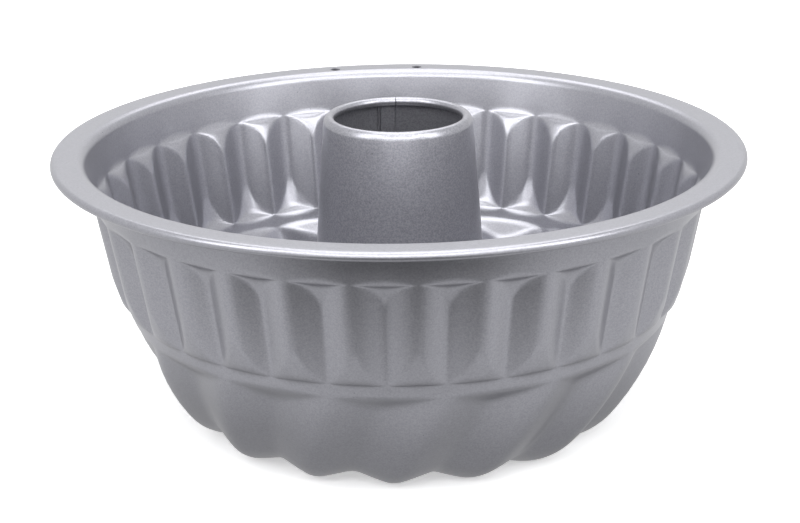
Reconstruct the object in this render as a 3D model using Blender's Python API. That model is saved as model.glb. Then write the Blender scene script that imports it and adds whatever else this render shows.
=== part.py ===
"""Fluted tube pan for baking ring cakes, pressed from thin coated steel sheet.

Two pieces: the one-piece pressed bowl with its rolled flange, pleated upper
wall and swirled lower wall, and the conical centre tube fixed in its floor.
Metres, +Z up, standing on the lowest points of the swirled floor at z = 0.
"""
import math

import bmesh
import bpy

SHEET = 0.0006
FIT_GAP = 0.0003

# rim: flat flange with its edge rolled down and under
RIM_RADIUS = 0.125
RIM_HEIGHT = 0.1042
RIM_ROLL_RADIUS = 0.0016
RIM_ROLL_TURN = 285.0
FLANGE_WIDTH = 0.012
FLANGE_BEND_RADIUS = 0.003
HANG_HOLE_DIAMETER = 0.004
HANG_HOLE_TO_BEND = 0.0021
HANG_HOLE_ANGLES = (-12.7, 3.9)

# upper wall: plain border, then straight pleats down to a plain band
WALL_RADIUS_AT_RIM = RIM_RADIUS - FLANGE_WIDTH
WALL_DRAFT = 0.186
BORDER_HEIGHT = 0.0152
PLEAT_TIER_HEIGHT = 0.0387
BAND_HEIGHT = 0.0046
PLEATS = 32
PLEAT_PHASE = 2.9
PLEAT_DEPTH = 0.0036
PLEAT_FLAT_HALF_ANGLE = 0.7
LEDGE_DROP = 0.0019
LEDGE_REACH = 0.72
UPPER_FACET_DROP = 0.0066
LOWER_FACET_RISE = 0.0109
BORDER_FOOT = RIM_HEIGHT - BORDER_HEIGHT
BAND_TOP = BORDER_FOOT - PLEAT_TIER_HEIGHT
BAND_FOOT = BAND_TOP - BAND_HEIGHT

# lower wall: swirled flutes, one for every two pleats, rolling under the pan
SWIRLS = PLEATS // 2
SWIRL_PHASE = PLEAT_PHASE + 180.0 / PLEATS
SWIRL_DEPTH = 0.0040
SWIRL_FLOOR_DEPTH = 0.0033
SWIRL_TURN = -13.6
SWIRL_SHOULDER_DROP = 0.0065
SWIRL_SHOULDER_START = 0.15
BELLY_DRAFT = 0.25
BELLY_WALL_RADIUS = 0.096
BELLY_CORNER_RADIUS = 0.027
BELLY_WALL_STEPS = 2
BELLY_CORNER_STEPS = 4

# centre tube: cone, rolled inward at the top and outward at the foot
TUBE_RISE = 0.0108
TUBE_TOP = RIM_HEIGHT + TUBE_RISE
TUBE_ROLL_RADIUS = 0.00185
TUBE_RADIUS_AT_ROLL = 0.02706
TUBE_DRAFT = 0.0749
TUBE_ROLL_TURN = 285.0
TUBE_SIDES = 40
FOOT_ROLL_RADIUS = 0.0016
FOOT_ROLL_CENTRE_HEIGHT = 0.0033
SEAM_CENTRE_ANGLE = -9.4
SEAM_HALF_WIDTH = 0.0033
SEAM_FOLD_ANGLE = 1.0
SEAM_DEPTH = 0.0009
SEAM_TOP_CLEARANCE = 0.0035

# floor lip that hugs the tube; its height is that of its crest
LIP_RADIUS = 0.0032
LIP_HEIGHT = 0.0109

COATING_COLOUR = (0.36, 0.37, 0.385, 1.0)
COATING_ROUGHNESS = 0.38
COATING_METALLIC = 0.85


def clear_scene():
    for item in list(bpy.data.objects):
        bpy.data.objects.remove(item, do_unlink=True)


def coated_steel(name):
    material = bpy.data.materials.new(name)
    material.use_nodes = True
    shader = material.node_tree.nodes["Principled BSDF"]
    shader.inputs["Base Color"].default_value = COATING_COLOUR
    shader.inputs["Roughness"].default_value = COATING_ROUGHNESS
    shader.inputs["Metallic"].default_value = COATING_METALLIC
    return material


def arc(centre_r, centre_z, radius, start, end, steps):
    """Points (r, z) on a circle from the start angle to the end angle in degrees."""
    points = []
    for k in range(steps + 1):
        angle = math.radians(start + (end - start) * k / steps)
        points.append((centre_r + radius * math.cos(angle),
                       centre_z + radius * math.sin(angle)))
    return points


def place(r, z, angle):
    """Point at radius r and height z; the angle is 0 at the front (-Y), positive toward +X."""
    a = math.radians(angle)
    return (r * math.sin(a), -r * math.cos(a), z)


def wall_radius(z):
    return WALL_RADIUS_AT_RIM - WALL_DRAFT * (RIM_HEIGHT - z)


def tube_radius(z):
    roll_height = TUBE_TOP - TUBE_ROLL_RADIUS
    return TUBE_RADIUS_AT_ROLL + TUBE_DRAFT * (roll_height - z)


def belly_shape():
    """Lower ridge line: a wall arc and a corner arc that ends level on the base ring.

    Angles are those of the outward normal below the horizontal. Returns the start
    angle, the angle where the arcs meet, and each arc's centre (r, z) and radius.
    """
    foot_r = wall_radius(BAND_FOOT) - PLEAT_DEPTH
    start = math.atan(BELLY_DRAFT)
    rise = BAND_FOOT - SHEET
    wall, corner = BELLY_WALL_RADIUS, BELLY_CORNER_RADIUS
    joint = math.asin((rise + wall * math.sin(start) - corner) / (wall - corner))
    wall_centre = (foot_r - wall * math.cos(start), BAND_FOOT + wall * math.sin(start))
    corner_centre = (wall_centre[0] + (wall - corner) * math.cos(joint), SHEET + corner)
    return start, joint, (wall_centre, wall), (corner_centre, corner)


def belly_point(angle, depth):
    """Point on the lower ridge line, moved into the pan by depth."""
    _, joint, wall, corner = belly_shape()
    (centre_r, centre_z), radius = wall if angle <= joint else corner
    radius -= depth
    return centre_r + radius * math.cos(angle), centre_z - radius * math.sin(angle)


def belly_travel(angle):
    """Length along the ridge line from the foot of the band."""
    start, joint, (_, wall), (_, corner) = belly_shape()
    return wall * (min(angle, joint) - start) + corner * max(angle - joint, 0.0)


def lip_geometry():
    """Floor arc that leaves the base ring level and runs into the lip's arc.

    Returns the lip arc's centre (r, z), the floor arc's radius and its end slope.
    """
    centre_r = tube_radius(LIP_HEIGHT - LIP_RADIUS) + FIT_GAP + LIP_RADIUS
    run = base_ring_radius() - centre_r
    slope = 2 * math.atan2(LIP_HEIGHT - SHEET, run)
    floor_radius = run / math.sin(slope) - LIP_RADIUS
    return centre_r, LIP_HEIGHT - LIP_RADIUS, floor_radius, slope


def base_ring_radius():
    return belly_shape()[3][0][0]


def floor_point(angle, depth):
    """Point on the floor between base ring and lip; angle 0 is the base ring."""
    _, _, radius, _ = lip_geometry()
    r = base_ring_radius() - radius * math.sin(angle)
    z = SHEET + radius * (1 - math.cos(angle))
    return r + depth * math.sin(angle), z + depth * math.cos(angle)


def pleat_columns():
    """Angle of each wall column and whether it lies on a proud (1) or a recessed (0) line."""
    pitch = 360.0 / PLEATS
    columns = []
    for k in range(PLEATS):
        proud = PLEAT_PHASE + k * pitch
        for centre, level in ((proud, 1), (proud + pitch / 2, 0)):
            columns.append((centre - PLEAT_FLAT_HALF_ANGLE, level))
            columns.append((centre + PLEAT_FLAT_HALF_ANGLE, level))
    return columns


def swirl_recess(angle):
    """0 on a swirl ridge and 1 in the valley between two ridges."""
    return 0.5 - 0.5 * math.cos(math.radians(SWIRLS * (angle - SWIRL_PHASE)))


def bowl_rows():
    """Rings of points on the batter side, from the roll's hidden edge to the floor collar."""
    columns = pleat_columns()
    centres = [0.5 * (columns[k][0] + columns[k + 1][0]) for k in range(0, len(columns), 2)]
    rows = []

    def add(points, angles):
        rows.append([place(r, z, a) for (r, z), a in zip(points, angles)])

    # rolled edge, flat flange and the bend into the wall
    roll = arc(RIM_RADIUS - RIM_ROLL_RADIUS, RIM_HEIGHT - RIM_ROLL_RADIUS, RIM_ROLL_RADIUS,
               90.0 - RIM_ROLL_TURN, 90.0, 7)
    draft = math.degrees(math.atan(WALL_DRAFT))
    bend_r = WALL_RADIUS_AT_RIM + FLANGE_BEND_RADIUS / math.cos(math.radians(draft))
    bend_r -= WALL_DRAFT * FLANGE_BEND_RADIUS
    bend = arc(bend_r, RIM_HEIGHT - FLANGE_BEND_RADIUS, FLANGE_BEND_RADIUS, 90.0, 180.0 - draft, 3)
    for point in roll + bend[:-1]:
        add([point] * len(centres), centres)

    # plain border, the pleats between their stepped facets, and the band
    angles = [angle for angle, _ in columns]
    steps = (
        (bend[-1][1], bend[-1][1], 0.0, 0.0),
        (BORDER_FOOT, BORDER_FOOT, 0.0, 0.0),
        (BORDER_FOOT - 0.2 * LEDGE_DROP, BORDER_FOOT - LEDGE_DROP, 0.0, LEDGE_REACH),
        (BORDER_FOOT - 0.5 * LEDGE_DROP, BORDER_FOOT - UPPER_FACET_DROP, 0.0, 1.0),
        (BAND_TOP + LOWER_FACET_RISE, BAND_TOP + 0.5 * LEDGE_DROP, 0.0, 1.0),
        (BAND_TOP + LEDGE_DROP, BAND_TOP + 0.2 * LEDGE_DROP, 1 - LEDGE_REACH, 1.0),
        (BAND_TOP, BAND_TOP, 1.0, 1.0),
        (BAND_FOOT, BAND_FOOT, 1.0, 1.0),
    )
    for proud_z, deep_z, proud_in, deep_in in steps:
        points = []
        for _, level in columns:
            z = proud_z if level else deep_z
            recess = proud_in if level else deep_in
            points.append((wall_radius(z) - recess * PLEAT_DEPTH, z))
        add(points, angles)

    # shoulder facets under the band, then the swirls down to the base ring
    start, joint, (_, wall), _ = belly_shape()
    turn_per_metre = SWIRL_TURN / belly_travel(math.pi / 2)
    shoulder = math.asin(math.sin(start) + SWIRL_SHOULDER_DROP / wall)
    nominal = [shoulder]
    nominal += [shoulder + (joint - shoulder) * (k + 1) / BELLY_WALL_STEPS
                for k in range(BELLY_WALL_STEPS)]
    nominal += [joint + (math.pi / 2 - joint) * (k + 1) / BELLY_CORNER_STEPS
                for k in range(BELLY_CORNER_STEPS)]
    for step, turn in enumerate(nominal):
        share = (math.pi / 2 - turn) / (math.pi / 2 - start)
        depth = SWIRL_FLOOR_DEPTH + (SWIRL_DEPTH - SWIRL_FLOOR_DEPTH) * share
        twist = turn_per_metre * belly_travel(turn)
        points = []
        for angle in angles:
            recess = swirl_recess(angle)
            reach = 1.0
            if step == 0:
                reach = SWIRL_SHOULDER_START + (1 - SWIRL_SHOULDER_START) * recess
            points.append(belly_point(start + (turn - start) * reach, depth * recess))
        add(points, [angle + twist for angle in angles])

    # floor up to the lip, the flutes fading out, then the lip and its short collar
    lip_r, lip_z, floor_radius, slope = lip_geometry()
    for share in (0.36, 0.7, 1.0):
        turn = slope * share
        depth = SWIRL_FLOOR_DEPTH * math.cos(math.radians(90 * share))
        points = [floor_point(turn, depth * swirl_recess(a)) for a in centres]
        twist = SWIRL_TURN + turn_per_metre * floor_radius * turn
        add(points, [angle + twist for angle in centres])
    for point in arc(lip_r, lip_z, LIP_RADIUS, 90 - math.degrees(slope), 180.0, 3)[1:]:
        add([point] * len(centres), [angle + twist for angle in centres])
    collar_foot = FOOT_ROLL_CENTRE_HEIGHT + FOOT_ROLL_RADIUS + FIT_GAP
    point = (tube_radius(collar_foot) + FIT_GAP, collar_foot)
    add([point] * len(centres), [angle + twist for angle in centres])
    return rows


def bridge(mesh, upper, lower):
    """Faces between two rings; a ring may have twice as many points as the other."""
    count_up, count_low = len(upper), len(lower)
    if count_up == count_low:
        for k in range(count_up):
            n = (k + 1) % count_up
            mesh.faces.new((upper[k], upper[n], lower[n], lower[k]))
        return
    if count_up < count_low:
        for k in range(count_up):
            n = (k + 1) % count_up
            mesh.faces.new((upper[k], lower[2 * k + 1], lower[2 * k]))
            mesh.faces.new((upper[k], upper[n], lower[2 * n], lower[2 * k + 1]))
        return
    for k in range(count_low):
        n = (k + 1) % count_low
        mesh.faces.new((lower[k], upper[2 * k], upper[2 * k + 1]))
        mesh.faces.new((lower[n], lower[k], upper[2 * k + 1], upper[2 * n]))


def finish(name, mesh, material, sharp_angle):
    data = bpy.data.meshes.new(name)
    bmesh.ops.recalc_face_normals(mesh, faces=mesh.faces)
    mesh.to_mesh(data)
    mesh.free()
    data.materials.append(material)
    data.shade_smooth()
    data.set_sharp_from_angle(angle=math.radians(sharp_angle))
    item = bpy.data.objects.new(name, data)
    bpy.context.collection.objects.link(item)
    return item


def apply_modifiers(item):
    graph = bpy.context.evaluated_depsgraph_get()
    data = bpy.data.meshes.new_from_object(item.evaluated_get(graph))
    item.modifiers.clear()
    old = item.data
    item.data = data
    bpy.data.meshes.remove(old)
    data.name = item.name


def hole_cutter(angle):
    """Upright cylinder through the flange; the angle is 0 at the back, positive toward +X."""
    mesh = bmesh.new()
    bmesh.ops.create_cone(mesh, cap_ends=True, segments=20, radius1=HANG_HOLE_DIAMETER / 2,
                          radius2=HANG_HOLE_DIAMETER / 2, depth=2 * FLANGE_BEND_RADIUS)
    a = math.radians(angle)
    r = WALL_RADIUS_AT_RIM + FLANGE_BEND_RADIUS + HANG_HOLE_TO_BEND
    centre = (r * math.sin(a), r * math.cos(a), RIM_HEIGHT)
    bmesh.ops.translate(mesh, vec=centre, verts=mesh.verts)
    data = bpy.data.meshes.new("cutter")
    mesh.to_mesh(data)
    mesh.free()
    item = bpy.data.objects.new("cutter", data)
    bpy.context.collection.objects.link(item)
    return item


def build_bowl(material):
    mesh = bmesh.new()
    rings = [[mesh.verts.new(point) for point in row] for row in bowl_rows()]
    for upper, lower in zip(rings, rings[1:]):
        bridge(mesh, upper, lower)
    bowl = finish("fluted_bowl", mesh, material, 32.0)

    # sheet thickness goes to the outside of the batter side
    inside = bowl.data.polygons[len(bowl.data.polygons) // 2]
    outward = inside.normal.x * inside.center.x + inside.normal.y * inside.center.y > 0
    sheet = bowl.modifiers.new("sheet", "SOLIDIFY")
    sheet.thickness = SHEET
    sheet.offset = 1.0 if outward else -1.0
    sheet.use_even_offset = True
    apply_modifiers(bowl)

    for angle in HANG_HOLE_ANGLES:
        cutter = hole_cutter(angle)
        cut = bowl.modifiers.new("hang hole", "BOOLEAN")
        cut.operation = "DIFFERENCE"
        cut.solver = "EXACT"
        cut.object = cutter
        apply_modifiers(bowl)
        bpy.data.objects.remove(cutter, do_unlink=True)
    bowl.data.set_sharp_from_angle(angle=math.radians(32.0))
    return bowl


def tube_columns():
    """Angles round the tube, 0 at the back, with pairs at the two edges of the lock seam."""
    half = math.degrees(SEAM_HALF_WIDTH / TUBE_RADIUS_AT_ROLL)
    seam = [SEAM_CENTRE_ANGLE - half - SEAM_FOLD_ANGLE, SEAM_CENTRE_ANGLE - half,
            SEAM_CENTRE_ANGLE + half, SEAM_CENTRE_ANGLE + half + SEAM_FOLD_ANGLE]
    free = TUBE_SIDES
    start = seam[-1]
    sweep = 360.0 - (seam[-1] - seam[0])
    angles = [start + sweep * k / free for k in range(1, free)]
    return seam + angles, (1, 2)


def build_tube(material):
    """Conical tube with its lock seam folded flat against the bore."""
    roll_z = TUBE_TOP - TUBE_ROLL_RADIUS
    roll_r = TUBE_RADIUS_AT_ROLL - TUBE_ROLL_RADIUS
    foot_r = tube_radius(FOOT_ROLL_CENTRE_HEIGHT) - SHEET + FOOT_ROLL_RADIUS
    top_out = arc(roll_r, roll_z, TUBE_ROLL_RADIUS, 0.0, TUBE_ROLL_TURN, 8)
    top_in = arc(roll_r, roll_z, TUBE_ROLL_RADIUS - SHEET, TUBE_ROLL_TURN, 0.0, 5)
    foot_out = arc(foot_r, FOOT_ROLL_CENTRE_HEIGHT, FOOT_ROLL_RADIUS, 180.0, 450.0, 6)
    foot_in = arc(foot_r, FOOT_ROLL_CENTRE_HEIGHT, FOOT_ROLL_RADIUS - SHEET, 450.0, 180.0, 4)
    bore = []
    for z in (roll_z - SEAM_TOP_CLEARANCE, roll_z - SEAM_TOP_CLEARANCE - SEAM_DEPTH,
              FOOT_ROLL_CENTRE_HEIGHT + FOOT_ROLL_RADIUS + SEAM_DEPTH,
              FOOT_ROLL_CENTRE_HEIGHT + FOOT_ROLL_RADIUS):
        bore.append((tube_radius(z) - SHEET, z))
    seam_rows = (len(top_out) + len(top_in) + 1, len(top_out) + len(top_in) + 2)
    profile = top_out + top_in + bore + foot_out + foot_in

    angles, seam = tube_columns()
    mesh = bmesh.new()
    rings = []
    for k, (r, z) in enumerate(profile):
        ring = []
        for column, angle in enumerate(angles):
            radius = r - SEAM_DEPTH if k in seam_rows and column in seam else r
            a = math.radians(angle)
            ring.append(mesh.verts.new((radius * math.sin(a), radius * math.cos(a), z)))
        rings.append(ring)
    for upper, lower in zip(rings, rings[1:] + rings[:1]):
        bridge(mesh, upper, lower)
    return finish("centre_tube", mesh, material, 32.0)


clear_scene()
build_bowl(coated_steel("coated_steel_bowl"))
build_tube(coated_steel("coated_steel_tube"))
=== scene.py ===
"""The looks of a fluted tube pan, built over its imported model."""
import math

import bmesh
import bpy
from mathutils import Matrix, Vector


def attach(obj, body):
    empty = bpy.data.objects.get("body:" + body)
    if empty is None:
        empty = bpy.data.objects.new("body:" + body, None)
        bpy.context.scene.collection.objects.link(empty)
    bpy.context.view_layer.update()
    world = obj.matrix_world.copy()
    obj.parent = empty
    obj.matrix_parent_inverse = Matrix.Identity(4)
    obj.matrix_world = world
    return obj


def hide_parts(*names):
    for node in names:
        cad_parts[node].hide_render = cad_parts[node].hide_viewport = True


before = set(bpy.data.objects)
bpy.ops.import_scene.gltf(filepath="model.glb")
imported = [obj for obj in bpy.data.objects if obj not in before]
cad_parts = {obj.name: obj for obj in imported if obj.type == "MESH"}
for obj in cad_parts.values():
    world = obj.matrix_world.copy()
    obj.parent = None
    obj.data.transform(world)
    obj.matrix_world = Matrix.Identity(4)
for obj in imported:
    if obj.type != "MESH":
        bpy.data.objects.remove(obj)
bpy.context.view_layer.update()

# The bowl: one round of coated steel sheet, drawn in a press to a pleated wall over a swirled
# base. Its edge is then trimmed and rolled down and under, which leaves a flat flange, and two
# holes to hang it by are punched through the back of the flange.

# lengths are in metres, angles in degrees, and a draft is the run sideways for a run of 1 down
SHEET = 0.0006
RIM_RADIUS = 0.125
RIM_HEIGHT = 0.1042
RIM_ROLL_RADIUS = 0.0016
RIM_ROLL_TURN = 285.0
FLANGE_WIDTH = 0.012
FLANGE_BEND_RADIUS = 0.0038
HANG_HOLE_DIAMETER = 0.004
HANG_HOLE_TO_BEND = 0.0013
HANG_HOLE_ANGLES = (-12.7, 3.9)

WALL_RADIUS_AT_RIM = RIM_RADIUS - FLANGE_WIDTH
WALL_DRAFT = 0.186
BORDER_HEIGHT = 0.0152
PLEAT_HEIGHT = 0.0387
BAND_HEIGHT = 0.0046
BORDER_FOOT = RIM_HEIGHT - BORDER_HEIGHT
BAND_TOP = BORDER_FOOT - PLEAT_HEIGHT
BAND_FOOT = BAND_TOP - BAND_HEIGHT

# across a pleat, the flat and the ease are shares of the way from its proud to its recessed line
PLEATS = 32
PLEAT_PHASE = 2.9
PLEAT_DEPTH = 0.0036
PLEAT_FLAT = 0.11
PLEAT_EASE = 0.14

# a narrow ledge leads from the border, and from the band, on to the facet at each pleat's end
LEDGE_DROP = 0.0019
LEDGE_START = 0.2
LEDGE_CURVE = 1.3
LEDGE_REACH = 0.65
UPPER_FACET_DROP = 0.0085
LOWER_FACET_RISE = 0.0122
FACET_CURVE = 1.7

# each swirl is two pleats wide
SWIRL_DEPTH = 0.0040
SWIRL_FLOOR_DEPTH = 0.0033
SWIRL_EASE = 0.22
SWIRL_TURN = -13.6
SHOULDER_DROP = 0.0065
SHOULDER_START = 0.15
BELLY_DRAFT = 0.25
BELLY_WALL_RADIUS = 0.096
BELLY_CORNER_RADIUS = 0.027

# the floor rises to a lip and a collar that fits round the side of the centre tube
LIP_RADIUS = 0.0032
LIP_HEIGHT = 0.0109
COLLAR_FOOT = 0.0052
FIT_GAP = 0.0003
TUBE_ABOVE_RIM = 0.0108
TUBE_NECK_DROP = 0.00185
TUBE_NECK_RADIUS = 0.02706
TUBE_DRAFT = 0.0749
TUBE_TOP = RIM_HEIGHT + TUBE_ABOVE_RIM
TUBE_NECK_HEIGHT = TUBE_TOP - TUBE_NECK_DROP

CREASE = 0.0022
CREASE_LIMIT = 0.45
SHARP_ANGLE = 40.0

# rows down the sheet and columns round it; the columns crowd at the pleats' corners
RIM_ROLL_ROWS = 18
FLANGE_ROWS = (0.3, 0.7, 1.0)
BEND_ROWS = 10
CREASE_ROWS = 4
BELLY_ROWS = 22
FLOOR_ROWS = 12
LIP_ROWS = 9
COLUMNS_PER_PLEAT = 12
COLUMN_CROWDING = 0.5
HANG_HOLE_SIDES = 40


def tube_radius(z):
    return TUBE_NECK_RADIUS + TUBE_DRAFT * (TUBE_NECK_HEIGHT - z)


def wall_radius(z):
    return WALL_RADIUS_AT_RIM - WALL_DRAFT * (RIM_HEIGHT - z)


def eased(share, ease):
    """A straight run from 0 to 1 with both of its ends rounded off."""
    x = min(share, 1 - share)
    x = x * x / (2 * ease) + ease / 2 if x < ease else x
    x = x if share < 0.5 else 1 - x
    return min(max((x - ease / 2) / (1 - ease), 0.0), 1.0)


def soften(points, reach):
    """The same line with each inner corner drawn as a short curve."""
    line = [points[0]]
    for before, corner, after in zip(points, points[1:], points[2:]):
        before, corner, after = Vector(before), Vector(corner), Vector(after)
        back, on = before - corner, after - corner
        start = corner + back * min(reach / back.length, CREASE_LIMIT)
        end = corner + on * min(reach / on.length, CREASE_LIMIT)
        for k in range(CREASE_ROWS + 1):
            t = k / CREASE_ROWS
            line.append((1 - t) ** 2 * start + 2 * t * (1 - t) * corner + t * t * end)
    return [tuple(point) for point in line] + [points[-1]]


def pleated_wall(share):
    """Radius and height down one line of the wall: share 0 is a proud line, 1 a recessed one.

    The facets meet the pleat's face along a curve that is level on one line, steep on the other.
    """
    def facet(x):
        return 1 - max(1 - x ** FACET_CURVE, 0.0) ** (1 / FACET_CURVE)

    def ledge(x):
        return LEDGE_DROP * (LEDGE_START + (1 - LEDGE_START) * x ** LEDGE_CURVE)

    half = LEDGE_DROP / 2
    points = ((BORDER_FOOT, 0.0),
              (BORDER_FOOT - ledge(share), LEDGE_REACH * share),
              (BORDER_FOOT - half - (UPPER_FACET_DROP - half) * facet(share), share),
              (BAND_TOP + half + (LOWER_FACET_RISE - half) * facet(1 - share), share),
              (BAND_TOP + ledge(1 - share), 1 - LEDGE_REACH * (1 - share)),
              (BAND_TOP, 1.0))
    return [(wall_radius(z) - PLEAT_DEPTH * recess, z) for z, recess in points]


# the belly is an arc down the wall and a tighter one round the corner, level at the base ring
level = math.pi / 2
belly_start = math.atan(BELLY_DRAFT)
rise = BAND_FOOT - SHEET + BELLY_WALL_RADIUS * math.sin(belly_start) - BELLY_CORNER_RADIUS
belly_joint = math.asin(rise / (BELLY_WALL_RADIUS - BELLY_CORNER_RADIUS))
belly_centre = (wall_radius(BAND_FOOT) - PLEAT_DEPTH - BELLY_WALL_RADIUS * math.cos(belly_start),
                BAND_FOOT + BELLY_WALL_RADIUS * math.sin(belly_start))
base_ring = belly_centre[0] + ((BELLY_WALL_RADIUS - BELLY_CORNER_RADIUS)
                               * math.cos(belly_joint))
shoulder = math.asin(math.sin(belly_start) + SHOULDER_DROP / BELLY_WALL_RADIUS)

# the floor is one shallow arc from the base ring up to the lip
lip_centre = (tube_radius(LIP_HEIGHT - LIP_RADIUS) + FIT_GAP + LIP_RADIUS,
              LIP_HEIGHT - LIP_RADIUS)
floor_slope = 2 * math.atan2(LIP_HEIGHT - SHEET, base_ring - lip_centre[0])
floor_radius = (base_ring - lip_centre[0]) / math.sin(floor_slope) - LIP_RADIUS


def belly(turn, depth):
    """A point of the belly, sunk into the pan by depth; turn is how far it has rolled under."""
    if turn <= belly_joint:
        (r, z), radius = belly_centre, BELLY_WALL_RADIUS - depth
    else:
        (r, z), radius = (base_ring, SHEET + BELLY_CORNER_RADIUS), BELLY_CORNER_RADIUS - depth
    return r + radius * math.cos(turn), z - radius * math.sin(turn)


def belly_length(turn):
    return (BELLY_WALL_RADIUS * (min(turn, belly_joint) - belly_start)
            + BELLY_CORNER_RADIUS * max(turn - belly_joint, 0.0))


def swirled_base(share, first):
    """Radius, height and turn round the pan down one line of the swirls, from the band's foot.

    Share 0 is a ridge and 1 a valley; first is the point above the band's foot.
    """
    def depth(turn):
        down = (level - turn) / (level - belly_start)
        return share * (SWIRL_FLOOR_DEPTH + (SWIRL_DEPTH - SWIRL_FLOOR_DEPTH) * down)

    knee = belly_start + (shoulder - belly_start) * (SHOULDER_START
                                                     + (1 - SHOULDER_START) * share)
    turns = [knee + (level - knee) * k / BELLY_ROWS for k in range(BELLY_ROWS + 1)]
    line = [first, belly(belly_start, 0.0)] + [belly(turn, depth(turn)) for turn in turns[:2]]
    line = soften(line, CREASE)[1:-1]
    creased = len(line)
    line += [belly(turn, depth(turn)) for turn in turns[1:]]
    whole = belly_length(level)
    twisted = []
    for k, (r, z) in enumerate(line):
        if k < creased:
            lean = math.atan2(belly_centre[1] - z, r - belly_centre[0])
            turn = min(max(lean, belly_start), level)
        else:
            turn = turns[k - creased + 1]
        twisted.append((r, z, SWIRL_TURN * belly_length(turn) / whole))
    for k in range(1, FLOOR_ROWS + 1):
        lean = floor_slope * k / FLOOR_ROWS
        sunk = SWIRL_FLOOR_DEPTH * share * math.cos(level * k / FLOOR_ROWS)
        twist = SWIRL_TURN * (1 + floor_radius * lean / whole)
        twisted.append((base_ring - (floor_radius - sunk) * math.sin(lean),
                        SHEET + floor_radius - (floor_radius - sunk) * math.cos(lean), twist))
    for k in range(1, LIP_ROWS + 1):
        lean = level - floor_slope + (level + floor_slope) * k / LIP_ROWS
        twisted.append((lip_centre[0] + LIP_RADIUS * math.cos(lean),
                        lip_centre[1] + LIP_RADIUS * math.sin(lean), twist))
    twisted.append((tube_radius(COLLAR_FOOT) + FIT_GAP, COLLAR_FOOT, twist))
    return twisted


def bowl_line(recess, swirl):
    """One line of the wall and base, from under the flange's bend to the collar's foot."""
    band = soften([bend_end] + pleated_wall(recess) + [belly(belly_start, 0.0)], CREASE)
    line = [(r, z, 0.0) for r, z in band[:-1]]
    return line + swirled_base(swirl, band[-2])


def on_circle(centre, radius, turn):
    return centre[0] + radius * math.cos(turn), 0, centre[1] + radius * math.sin(turn)


def roll_on(sheet, tip, centre, turn, rows):
    """Carry the outline on round a centre; a turn above 0 goes from X towards Z."""
    made = bmesh.ops.spin(sheet, geom=[tip], cent=(centre[0], 0, centre[1]),
                          axis=(0, math.copysign(1, -turn), 0), angle=abs(turn), steps=rows)
    return [v for v in made["geom_last"] if isinstance(v, bmesh.types.BMVert)][0]


def draw_to(sheet, tip, r, z):
    tip = bmesh.ops.extrude_vert_indiv(sheet, verts=[tip])["verts"][0]
    tip.co = (r, 0, z)
    return tip


def turn_full_circle(sheet, columns):
    bmesh.ops.spin(sheet, geom=sheet.verts[:] + sheet.edges[:], cent=(0, 0, 0), axis=(0, 0, 1),
                   angle=2 * math.pi, steps=columns, use_merge=True)


def finish_mesh(name, sheet, sharp=SHARP_ANGLE):
    data = bpy.data.meshes.new(name)
    sheet.to_mesh(data)
    sheet.free()
    piece = bpy.data.objects.new(name, data)
    bpy.context.collection.objects.link(piece)
    data.shade_smooth()
    data.set_sharp_from_angle(angle=math.radians(sharp))
    return piece


def bake_modifiers(piece):
    graph = bpy.context.evaluated_depsgraph_get()
    data = bpy.data.meshes.new_from_object(piece.evaluated_get(graph))
    piece.modifiers.clear()
    data.name, piece.data = piece.name, data
    data.set_sharp_from_angle(angle=math.radians(SHARP_ANGLE))


def give_thickness(piece, quality_normals):
    wall = piece.modifiers.new("sheet thickness", "SOLIDIFY")
    wall.thickness, wall.offset = SHEET, -1.0
    wall.use_even_offset, wall.use_quality_normals = True, quality_normals
    bake_modifiers(piece)


def cut_away(piece, cutter):
    cut = piece.modifiers.new("cut", "BOOLEAN")
    cut.operation, cut.solver, cut.object = "DIFFERENCE", "EXACT", cutter
    bake_modifiers(piece)
    bpy.data.objects.remove(cutter, do_unlink=True)


# the outline starts at the roll's hidden edge, in the plane of X and Z
draft = math.atan(WALL_DRAFT)
bend_centre = (WALL_RADIUS_AT_RIM + FLANGE_BEND_RADIUS * (1 / math.cos(draft) - WALL_DRAFT),
               RIM_HEIGHT - FLANGE_BEND_RADIUS)
bend_end = (bend_centre[0] - FLANGE_BEND_RADIUS * math.cos(draft),
            bend_centre[1] + FLANGE_BEND_RADIUS * math.sin(draft))
roll_centre = (RIM_RADIUS - RIM_ROLL_RADIUS, RIM_HEIGHT - RIM_ROLL_RADIUS)
hidden = math.radians(90 - RIM_ROLL_TURN)
sheet = bmesh.new()
tip = sheet.verts.new(on_circle(roll_centre, RIM_ROLL_RADIUS, hidden))
tip = roll_on(sheet, tip, roll_centre, math.radians(RIM_ROLL_TURN), RIM_ROLL_ROWS)
for share in FLANGE_ROWS:
    inward = roll_centre[0] + (bend_centre[0] - roll_centre[0]) * share
    tip = draw_to(sheet, tip, inward, tip.co.z)
tip = roll_on(sheet, tip, bend_centre, level - draft, BEND_ROWS)
first_row = len(sheet.verts) - 1
for r, z, _ in bowl_line(0.0, 0.0)[1:]:
    tip = draw_to(sheet, tip, r, z)
row = sheet.verts.layers.int.new("row")
for k, vert in enumerate(sheet.verts):
    vert[row] = k
turn_full_circle(sheet, PLEATS * COLUMNS_PER_PLEAT)

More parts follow.
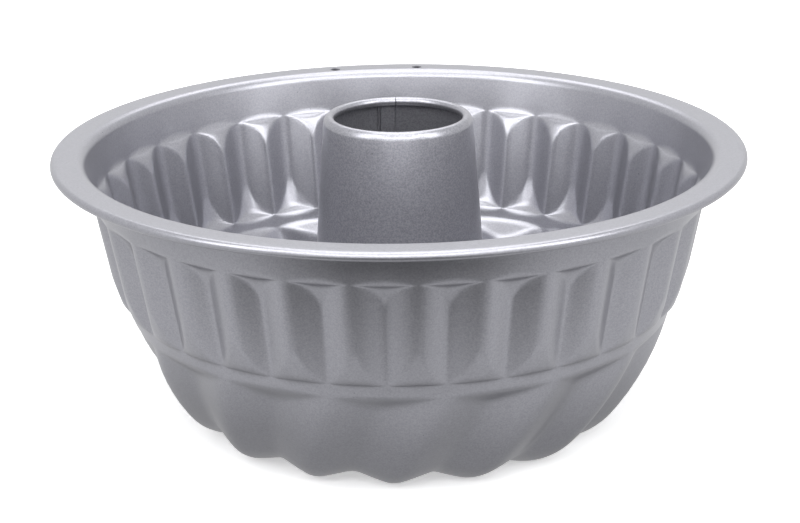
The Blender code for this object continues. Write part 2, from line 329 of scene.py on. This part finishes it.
# each line of points goes to its place across its pleat and its swirl
pitch = 360.0 / PLEATS
lines = {}
for vert in sheet.verts:
    column = round(math.degrees(math.atan2(vert.co.y, vert.co.x)) / pitch * COLUMNS_PER_PLEAT)
    column %= PLEATS * COLUMNS_PER_PLEAT
    pleat, part = divmod(column, COLUMNS_PER_PLEAT)
    half = 2 * part / COLUMNS_PER_PLEAT
    crowd = half - COLUMN_CROWDING * math.sin(2 * math.pi * half) / (2 * math.pi)
    angle = PLEAT_PHASE + pitch * (pleat + crowd / 2)
    across = crowd if crowd <= 1 else 2 - crowd
    along = ((angle - PLEAT_PHASE) / pitch - 0.5) / 2 % 1
    key = round(across, 6), round(min(along, 1 - along) * 2, 6)
    if key not in lines:
        recess = max(key[0] - PLEAT_FLAT, 0.0) / (1 - PLEAT_FLAT)
        lines[key] = bowl_line(eased(recess, PLEAT_EASE), eased(key[1], SWIRL_EASE))
    r, z, twist = vert.co.xy.length, vert.co.z, 0.0
    if vert[row] >= first_row:
        r, z, twist = lines[key][vert[row] - first_row]
    a = math.radians(angle + twist)
    vert.co = (r * math.sin(a), -r * math.cos(a), z)
bmesh.ops.recalc_face_normals(sheet, faces=sheet.faces[:])
flange = min(sheet.faces, key=lambda face: abs(face.calc_center_median().z - RIM_HEIGHT))
if flange.normal.z < 0:
    bmesh.ops.reverse_faces(sheet, faces=sheet.faces[:])
bowl = finish_mesh("bowl_sheet", sheet)
give_thickness(bowl, True)

for angle in HANG_HOLE_ANGLES:
    punch = bmesh.new()
    bmesh.ops.create_cone(punch, cap_ends=True, segments=HANG_HOLE_SIDES,
                          radius1=HANG_HOLE_DIAMETER / 2, radius2=HANG_HOLE_DIAMETER / 2,
                          depth=2 * FLANGE_BEND_RADIUS)
    r = WALL_RADIUS_AT_RIM + FLANGE_BEND_RADIUS + HANG_HOLE_TO_BEND
    a = math.radians(angle)
    bmesh.ops.translate(punch, vec=(r * math.sin(a), r * math.cos(a), RIM_HEIGHT),
                        verts=punch.verts)
    cut_away(bowl, finish_mesh("punch", punch))


class Link:
    """A shader socket that takes part in sums; node() makes any other kind of node."""

    def __init__(self, owner, socket=None):
        self.owner, self.socket = owner, socket

    def node(self, kind, settings=None, out=0, **sockets):
        """Add a node, set it up and feed its sockets; no6 stands for its socket number 6."""
        made = self.owner.node_tree.nodes.new("ShaderNode" + kind)
        for name, value in (settings or {}).items():
            setattr(made, name, value)
        for name, value in sockets.items():
            name = name.replace("_", " ")
            slot = made.inputs[int(name[2:])] if name.startswith("no") else made.inputs[name]
            if isinstance(value, Link):
                self.owner.node_tree.links.new(value.socket, slot)
            else:
                slot.default_value = value
        return Link(self.owner, made.outputs[out])

    def calc(self, operation, first, second):
        return self.node("Math", {"operation": operation}, no0=first, no1=second)

    def __add__(self, other):
        return self.calc("ADD", self, other)

    def __sub__(self, other):
        return self.calc("SUBTRACT", self, other)

    def __mul__(self, other):
        return self.calc("MULTIPLY", self, other)

    __radd__, __rmul__ = __add__, __mul__

    def __rsub__(self, other):
        return self.calc("SUBTRACT", other, self)


# the scales count grains, flakes and clouds along a metre, and the relief is in metres; the
# spread is how far the grain strays from its middle before its tone is all dark or all light
COATING_DARK = (0.267, 0.268, 0.296)
COATING_LIGHT = (0.361, 0.361, 0.395)
COATING_METALLIC = 0.72
COATING_ROUGHNESS = 0.31
GRAIN_ROUGHNESS = 0.10
CLOUD_ROUGHNESS = 0.05
GRAIN_SCALE = 1500.0
FLAKE_SCALE = 2600.0
CLOUD_SCALE = 90.0
FLAKE_SHARE = 0.3
GRAIN_SPREAD = 0.3
GRAIN_RELIEF = 0.0002
RELIEF_STRENGTH = 0.04


def coated_steel(name, coarseness):
    """Silver-grey non-stick coating: a fine metallic grain under a satin skin, sprayed on."""
    material = bpy.data.materials.new(name)
    material.use_nodes = True
    links = material.node_tree.links
    shader = material.node_tree.nodes["Principled BSDF"]
    place = Link(material).node("TexCoord", out="Object")
    grain = place.node("TexNoise", Vector=place, Scale=GRAIN_SCALE, Detail=2.0, Roughness=0.6)
    tint = place.node("TexVoronoi", {"feature": "F1"}, "Color", Vector=place, Scale=FLAKE_SCALE)
    flake = tint.node("SeparateColor", out="Red", Color=tint)
    cloud = place.node("TexNoise", Vector=place, Scale=CLOUD_SCALE, Detail=2.0, Roughness=0.5)
    speck = grain * (1 - FLAKE_SHARE) + flake * FLAKE_SHARE
    tone = place.node("MapRange", Value=speck, From_Min=0.5 - GRAIN_SPREAD / coarseness,
                      From_Max=0.5 + GRAIN_SPREAD / coarseness)
    colour = place.node("Mix", {"data_type": "RGBA"}, out=2, Factor=tone,
                        no6=(*COATING_DARK, 1.0), no7=(*COATING_LIGHT, 1.0))
    rough = (COATING_ROUGHNESS + GRAIN_ROUGHNESS * (speck - 0.5)
             + CLOUD_ROUGHNESS * (cloud - 0.5))
    bump = place.node("Bump", Strength=RELIEF_STRENGTH, Distance=GRAIN_RELIEF, Height=grain)
    links.new(colour.socket, shader.inputs["Base Color"])
    links.new(rough.socket, shader.inputs["Roughness"])
    links.new(bump.socket, shader.inputs["Normal"])
    shader.inputs["Metallic"].default_value = COATING_METALLIC
    return material


bowl.data.materials.append(coated_steel("silver_grey_coating", 1.0))
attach(bowl, "root")
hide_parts("fluted_bowl")

# The centre tube: a strip of the same sheet rolled to a cone and closed down its back with a
# lock seam, pressed flat against the bore. Its top is curled inward and its foot outward, under
# the collar of the bowl's floor, which it grips. Its coating is coarser than the bowl's.

TUBE_BORE_RADIUS = 0.0232
TUBE_CURL_RADIUS = 0.0016
TUBE_CURL_TURN = 285.0
TUBE_SHOULDER_TURN = 50.0
FOOT_ROLL_RADIUS = 0.0016
FOOT_ROLL_HEIGHT = 0.0033
FOOT_ROLL_TURN = 270.0
TUBE_CURL_ROWS = 18
TUBE_SHOULDER_ROWS = 10
TUBE_SIDE_ROWS = 24
FOOT_ROLL_ROWS = 16
TUBE_COLUMNS = 160
TUBE_COARSENESS = 2.0

curl_centre = (TUBE_BORE_RADIUS + TUBE_CURL_RADIUS, TUBE_TOP - TUBE_CURL_RADIUS)
curl_turn, bent = math.radians(TUBE_CURL_TURN), math.radians(TUBE_SHOULDER_TURN)
sheet = bmesh.new()
tip = sheet.verts.new(on_circle(curl_centre, TUBE_CURL_RADIUS, curl_turn))
tip = roll_on(sheet, tip, curl_centre, bent - curl_turn, TUBE_CURL_ROWS)

# a wide shoulder runs smoothly from the curl into the tube's side
lean = math.atan(TUBE_DRAFT)
outward = tube_radius(curl_centre[1]) - curl_centre[0]
slant = math.cos(bent) + TUBE_DRAFT * math.sin(bent)
shoulder_radius = ((outward - TUBE_CURL_RADIUS * slant) * math.cos(lean)
                   / (1 - slant * math.cos(lean)))
inset = shoulder_radius - TUBE_CURL_RADIUS
shoulder_centre = (curl_centre[0] - inset * math.cos(bent),
                   curl_centre[1] - inset * math.sin(bent))
tip = roll_on(sheet, tip, shoulder_centre, lean - bent, TUBE_SHOULDER_ROWS)

side_top = tip.co.z
for k in range(1, TUBE_SIDE_ROWS + 1):
    z = side_top + (FOOT_ROLL_HEIGHT - side_top) * k / TUBE_SIDE_ROWS
    tip = draw_to(sheet, tip, tube_radius(z), z)
foot_centre = (tip.co.x - SHEET + FOOT_ROLL_RADIUS, FOOT_ROLL_HEIGHT)
roll_on(sheet, tip, foot_centre, math.radians(FOOT_ROLL_TURN), FOOT_ROLL_ROWS)
turn_full_circle(sheet, TUBE_COLUMNS)
bmesh.ops.recalc_face_normals(sheet, faces=sheet.faces[:])
side = min(sheet.faces, key=lambda face: abs(face.calc_center_median().z - TUBE_TOP / 2))
if side.normal.xy.dot(side.calc_center_median().xy) < 0:
    bmesh.ops.reverse_faces(sheet, faces=sheet.faces[:])
tube = finish_mesh("tube_sheet", sheet)
give_thickness(tube, False)

# a small gap where the two ends of the curl meet, over the seam's edge and narrower upwards
GAP_ANGLE = -2.0
GAP_WIDTH = 0.0006
GAP_TAPER = 0.75
GAP_LENGTH = 3.0 * TUBE_CURL_RADIUS
GAP_HEIGHT = 2.4 * TUBE_CURL_RADIUS
GAP_INWARD = 0.5 * TUBE_CURL_RADIUS
GAP_UPWARD = 0.1 * TUBE_CURL_RADIUS

gap = bmesh.new()
bmesh.ops.create_cube(gap, size=1.0)
for vert in gap.verts:
    up = vert.co.z + 0.5
    vert.co = (vert.co.x * GAP_WIDTH * (1.0 - GAP_TAPER * up), vert.co.y * GAP_LENGTH,
               vert.co.z * GAP_HEIGHT)
bmesh.ops.translate(gap, vec=(0, curl_centre[0] - GAP_INWARD, curl_centre[1] + GAP_UPWARD),
                    verts=gap.verts)
bmesh.ops.rotate(gap, cent=(0, 0, 0), matrix=Matrix.Rotation(math.radians(-GAP_ANGLE), 3, "Z"),
                 verts=gap.verts)
cut_away(tube, finish_mesh("gap", gap))
tube_coating = coated_steel("coarser_grey_coating", TUBE_COARSENESS)
tube.data.materials.append(tube_coating)
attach(tube, "root")
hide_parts("centre_tube")

# The lock seam: the two edges of the strip are hooked into each other and flattened, which
# leaves a raised strap with round edges down the inside of the bore.

SEAM_ANGLE = -9.4
SEAM_WIDTH = 0.0066
SEAM_DEPTH = 0.0009
SEAM_UNDER_CURL = 0.0002
SEAM_TOP = TUBE_TOP - 2 * TUBE_CURL_RADIUS - SEAM_UNDER_CURL
SEAM_FOOT = FOOT_ROLL_HEIGHT + FOOT_ROLL_RADIUS
SEAM_SHARP_ANGLE = 50.0

# across the strap, as shares of its width and depth: a fold, the slot beside it, then the strap
SEAM_PROFILE = ((-0.50, -0.1), (-0.50, 0.60), (-0.48, 0.78), (-0.45, 0.84), (-0.43, 0.78),
                (-0.42, 0.10), (-0.36, 0.10), (-0.35, 0.92), (-0.33, 1.00), (-0.20, 1.00),
                (0.00, 1.00), (0.20, 1.00), (0.38, 1.00), (0.43, 0.95), (0.47, 0.80),
                (0.49, 0.55), (0.50, 0.25), (0.50, -0.1))

strap = bmesh.new()
profile = [strap.verts.new((SEAM_WIDTH * share, SEAM_DEPTH * height, SEAM_FOOT))
           for share, height in SEAM_PROFILE]
for here, there in zip(profile, profile[1:] + profile[:1]):
    strap.edges.new((here, there))
foot = bmesh.ops.edgeloop_fill(strap, edges=strap.edges[:])["faces"]
drawn = bmesh.ops.extrude_face_region(strap, geom=foot, use_keep_orig=True)["geom"]
bmesh.ops.translate(strap, vec=(0, 0, SEAM_TOP - SEAM_FOOT),
                    verts=[v for v in drawn if isinstance(v, bmesh.types.BMVert)])
for vert in strap.verts:
    x, depth, z = vert.co
    bore = tube_radius(z) - SHEET
    a = math.radians(SEAM_ANGLE) + x / bore
    vert.co = ((bore - depth) * math.sin(a), (bore - depth) * math.cos(a), z)
bmesh.ops.recalc_face_normals(strap, faces=strap.faces[:])
seam = finish_mesh("tube_seam", strap, SEAM_SHARP_ANGLE)
seam.data.materials.append(tube_coating)
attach(seam, "root")

# The table: a wide sheet of white paper with a glow of its own, which keeps it white under
# plain light. The metal mirrors it with a painted shadow close under the pan and painted shade
# in front of it, and to all light but the camera's the paper is painted dark grey.

TABLE_RADIUS = 6.0
PAPER_WHITE = 0.95
# the paper's colour to all light but the camera's: a painted shade, dark grey, so that little
# light bounces from the table on to the pan
PAPER_PAINTED_SHADE = 0.08

# the glow that is seen grows over this stretch of the way out from the pan's centre
GLOW_NEAR = 0.42
GLOW_FAR = 0.97
GLOW_RISE = (0.15, 0.80)

# the glow that is mirrored: as a whole, then a painted shadow that dims it under the pan and
# painted shade that darkens it in front, fading out towards the sides
MIRRORED_GLOW = 0.96
PAINTED_SHADOW_UNDER_PAN = 0.54
PAINTED_SHADOW_REACH = (0.09, 0.15)
PAINTED_SHADE_FRONT = (-0.218, -0.122)
PAINTED_SHADE_SIDES = (0.07, 0.20)

ground = bmesh.new()
bmesh.ops.create_circle(ground, cap_ends=True, segments=64, radius=TABLE_RADIUS)
floor = finish_mesh("floor", ground)
paper = bpy.data.materials.new("white_paper_with_painted_shade")
paper.use_nodes = True
tree = paper.node_tree
tree.nodes.clear()
place = Link(paper).node("TexCoord", out="Object")
apart = place.node("VectorMath", {"operation": "LENGTH"}, out="Value", no0=place)
across = place.node("SeparateXYZ", out="X", Vector=place)
aside = across.calc("ABSOLUTE", across, 0.0)
along = place.node("SeparateXYZ", out="Y", Vector=place)
# masks for the painted shade in front and the painted shadow under the pan, seen only in the
# metal's reflections
clear_of_painted_shade_front = place.node("MapRange", {"interpolation_type": "SMOOTHSTEP"}, Value=along,
                      From_Min=PAINTED_SHADE_FRONT[0], From_Max=PAINTED_SHADE_FRONT[1])
clear_of_painted_shade_aside = place.node("MapRange", {"interpolation_type": "SMOOTHSTEP"}, Value=aside,
                       From_Min=PAINTED_SHADE_SIDES[0], From_Max=PAINTED_SHADE_SIDES[1])
clear_of_painted_shade = place.calc("MAXIMUM", clear_of_painted_shade_front, clear_of_painted_shade_aside)
painted_shadow_factor = place.node("MapRange", Value=apart, From_Min=PAINTED_SHADOW_REACH[0],
                        From_Max=PAINTED_SHADOW_REACH[1], To_Min=PAINTED_SHADOW_UNDER_PAN)
rise = place.node("MapRange", Value=apart, From_Min=GLOW_RISE[0], From_Max=GLOW_RISE[1],
                  To_Min=GLOW_NEAR, To_Max=GLOW_FAR)
seen = place.node("LightPath", out="Is Camera Ray")
gloss = place.node("LightPath", out="Is Glossy Ray")
through = place.node("LightPath", out="Is Transmission Ray")
mirrored = place.calc("MAXIMUM", gloss, through)
# white to the camera, and painted dark grey to all other light
tone = place.node("Mix", {"data_type": "RGBA"}, out=2, Factor=seen,
                  no6=(PAPER_PAINTED_SHADE, PAPER_PAINTED_SHADE, PAPER_PAINTED_SHADE, 1.0),
                  no7=(PAPER_WHITE, PAPER_WHITE, PAPER_WHITE, 1.0))
shine = seen * rise + mirrored * clear_of_painted_shade * painted_shadow_factor * MIRRORED_GLOW
matt = place.node("BsdfDiffuse", Color=tone)
glow = place.node("Emission", Color=shine, Strength=1.0)
both = place.node("AddShader", no0=matt, no1=glow)
surface = tree.nodes.new("ShaderNodeOutputMaterial")
tree.links.new(both.socket, surface.inputs["Surface"])
floor.data.materials.append(paper)

# Light: a white room that gives little light of its own, wide soft boxes in an arc over the pan
# from front to back, and a tall one at each front corner.

ROOM_LIGHT = 0.05

world = bpy.data.worlds.new("white_room")
bpy.context.scene.world = world
world.use_nodes = True
seen = Link(world).node("LightPath", out="Is Camera Ray")
gloss = seen.node("LightPath", out="Is Glossy Ray")
through = seen.node("LightPath", out="Is Transmission Ray")
shown = seen.calc("MAXIMUM", seen, gloss)
shown = shown.calc("MAXIMUM", shown, through)
room = world.node_tree.nodes["Background"]
room.inputs["Color"].default_value = (1.0, 1.0, 1.0, 1.0)
strength = shown * (1.0 - ROOM_LIGHT) + ROOM_LIGHT
world.node_tree.links.new(strength.socket, room.inputs["Strength"])

# name, degrees round from the camera, degrees up, width, height and watts
SOFT_BOXES = (
    ("front_low_box", 0, 8, 1.30, 0.30, 2.4),
    ("front_box", 0, 34, 1.30, 0.30, 9.0),
    ("front_high_box", 0, 59, 1.30, 0.40, 4.2),
    ("overhead_box", 180, 86, 0.90, 0.80, 7.8),
    ("back_box", 180, 51, 1.00, 0.60, 5.2),
    ("left_box", -55, 36, 0.50, 1.00, 7.4),
    ("right_box", 55, 36, 0.50, 1.00, 7.4),
)
BOX_DISTANCE = 1.3
BOX_AIM = Vector((0.0, 0.0, 0.07))
for name, round_deg, up_deg, width, height, watts in SOFT_BOXES:
    lamp = bpy.data.lights.new(name, "AREA")
    lamp.shape, lamp.size, lamp.size_y, lamp.energy = "RECTANGLE", width, height, watts
    box = bpy.data.objects.new(name, lamp)
    bpy.context.collection.objects.link(box)
    aside, up = math.radians(round_deg), math.radians(up_deg)
    away = Vector((math.sin(aside) * math.cos(up), -math.cos(aside) * math.cos(up),
                   math.sin(up)))
    turn = (-away).to_track_quat("-Z", "Y").to_matrix().to_4x4()
    box.matrix_world = Matrix.Translation(BOX_AIM + away * BOX_DISTANCE) @ turn
    box.visible_camera = False

# The camera stands where the photograph was taken from: 0.7 m in front, looking down by 19
# degrees through a long lens, held a little out of level.

CAMERA_PLACE = (0.0, -0.69997, 0.2991)
CAMERA_TILT = 71.045
CAMERA_ROLL = -0.737
CAMERA_LENS_MM = 90.0
CAMERA_SENSOR_MM = 36.0

eye = bpy.data.cameras.new("camera")
eye.lens, eye.sensor_width = CAMERA_LENS_MM, CAMERA_SENSOR_MM
camera = bpy.data.objects.new("camera", eye)
bpy.context.collection.objects.link(camera)
camera.matrix_world = (Matrix.Translation(CAMERA_PLACE)
                       @ Matrix.Rotation(math.radians(CAMERA_TILT), 4, "X")
                       @ Matrix.Rotation(math.radians(CAMERA_ROLL), 4, "Z"))
bpy.context.scene.camera = camera
bpy.context.scene.view_settings.view_transform = "Standard"
